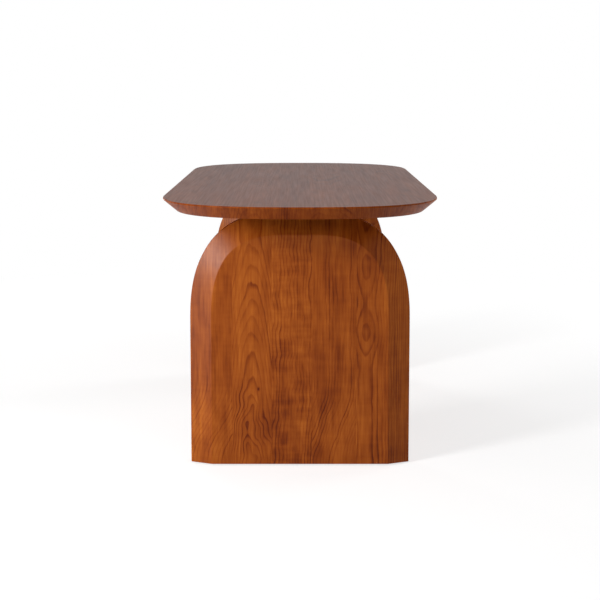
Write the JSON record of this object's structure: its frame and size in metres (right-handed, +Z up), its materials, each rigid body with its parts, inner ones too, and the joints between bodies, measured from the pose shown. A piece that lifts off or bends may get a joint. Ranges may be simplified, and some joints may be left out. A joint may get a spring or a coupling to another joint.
{
  "type": "double pedestal dining table",
  "caption": "Solid cherry dining table with a soft-cornered, knife-edged long top carried on two thick arched slab pedestals with bevelled faces.",
  "frame": {"origin": "on the floor under the middle of the top, at the soles of the retracted glides", "axes": "+X across the table, +Y along the table away from the pictured end, +Z up"},
  "size_m": [0.77, 1.858, 0.764],
  "materials": {
    "cherry_top": "satin lacquer",
    "cherry_pedestal": "satin lacquer",
    "cherry_edge": "satin lacquer",
    "poplar": "bare wood",
    "beech": "bare wood",
    "black_steel": "black powder coat",
    "zinc_steel": "zinc plated",
    "brass": "plain",
    "nylon": "matte"
  },
  "bodies": {
    "table": {"top_board_1": "cherry_top", "top_board_2": "cherry_top", "top_board_3": "cherry_top", "top_board_4": "cherry_top", "top_board_5": "cherry_top", "top_board_6": "cherry_top", "top_board_7": "cherry_top", "top_loose_tenons": "beech", "channel_screws": "zinc_steel", "channel_inserts": "brass", "top_bolt_inserts": "brass", "front_channel": "black_steel", "middle_channel": "black_steel", "rear_channel": "black_steel", "front_outer_panel": "cherry_pedestal", "front_inner_panel": "cherry_pedestal", "front_left_stile": "cherry_edge", "front_right_stile": "cherry_edge", "front_left_shoulder": "cherry_edge", "front_right_shoulder": "cherry_edge", "front_crown_rail": "poplar", "front_base_rail": "poplar", "front_middle_rail": "poplar", "front_frame_dowels": "beech", "front_mounting_plate": "black_steel", "front_plate_screws": "zinc_steel", "front_top_bolts": "zinc_steel", "front_bolt_washers": "zinc_steel", "front_glide_inserts": "brass", "rear_outer_panel": "cherry_pedestal", "rear_inner_panel": "cherry_pedestal", "rear_left_stile": "cherry_edge", "rear_right_stile": "cherry_edge", "rear_left_shoulder": "cherry_edge", "rear_right_shoulder": "cherry_edge", "rear_crown_rail": "poplar", "rear_base_rail": "poplar", "rear_middle_rail": "poplar", "rear_frame_dowels": "beech", "rear_mounting_plate": "black_steel", "rear_plate_screws": "zinc_steel", "rear_top_bolts": "zinc_steel", "rear_bolt_washers": "zinc_steel", "rear_glide_inserts": "brass"},
    "front_left_pad": {"front_left_glide_pad": "nylon"},
    "front_left_stem": {"front_left_glide_stem": "zinc_steel"},
    "front_right_pad": {"front_right_glide_pad": "nylon"},
    "front_right_stem": {"front_right_glide_stem": "zinc_steel"},
    "rear_left_pad": {"rear_left_glide_pad": "nylon"},
    "rear_left_stem": {"rear_left_glide_stem": "zinc_steel"},
    "rear_right_pad": {"rear_right_glide_pad": "nylon"},
    "rear_right_stem": {"rear_right_glide_stem": "zinc_steel"}
  },
  "joints": [
    {"name": "front_left_glide_travel", "type": "slide", "parent": "table", "child": "front_left_pad", "axis": [0, 0, -1], "range_m": [0, 0.012]},
    {"name": "front_left_glide_turn", "type": "hinge", "parent": "front_left_pad", "child": "front_left_stem", "pos_m": [-0.2825, -0.5865, 0], "axis": [0, 0, -1], "range_deg": [0, 2880]},
    {"name": "front_right_glide_travel", "type": "slide", "parent": "table", "child": "front_right_pad", "axis": [0, 0, -1], "range_m": [0, 0.012]},
    {"name": "front_right_glide_turn", "type": "hinge", "parent": "front_right_pad", "child": "front_right_stem", "pos_m": [0.2825, -0.5865, 0], "axis": [0, 0, -1], "range_deg": [0, 2880]},
    {"name": "rear_left_glide_travel", "type": "slide", "parent": "table", "child": "rear_left_pad", "axis": [0, 0, -1], "range_m": [0, 0.012]},
    {"name": "rear_left_glide_turn", "type": "hinge", "parent": "rear_left_pad", "child": "rear_left_stem", "pos_m": [-0.2825, 0.5865, 0], "axis": [0, 0, -1], "range_deg": [0, 2880]},
    {"name": "rear_right_glide_travel", "type": "slide", "parent": "table", "child": "rear_right_pad", "axis": [0, 0, -1], "range_m": [0, 0.012]},
    {"name": "rear_right_glide_turn", "type": "hinge", "parent": "rear_right_pad", "child": "rear_right_stem", "pos_m": [0.2825, 0.5865, 0], "axis": [0, 0, -1], "range_deg": [0, 2880]}
  ],
  "couplings": [
    {"joint": "front_left_glide_turn", "follows": "front_left_glide_travel", "rad_per_m": 4188.8},
    {"joint": "front_right_glide_turn", "follows": "front_right_glide_travel", "rad_per_m": 4188.8},
    {"joint": "rear_left_glide_turn", "follows": "rear_left_glide_travel", "rad_per_m": 4188.8},
    {"joint": "rear_right_glide_turn", "follows": "rear_right_glide_travel", "rad_per_m": 4188.8}
  ]
}
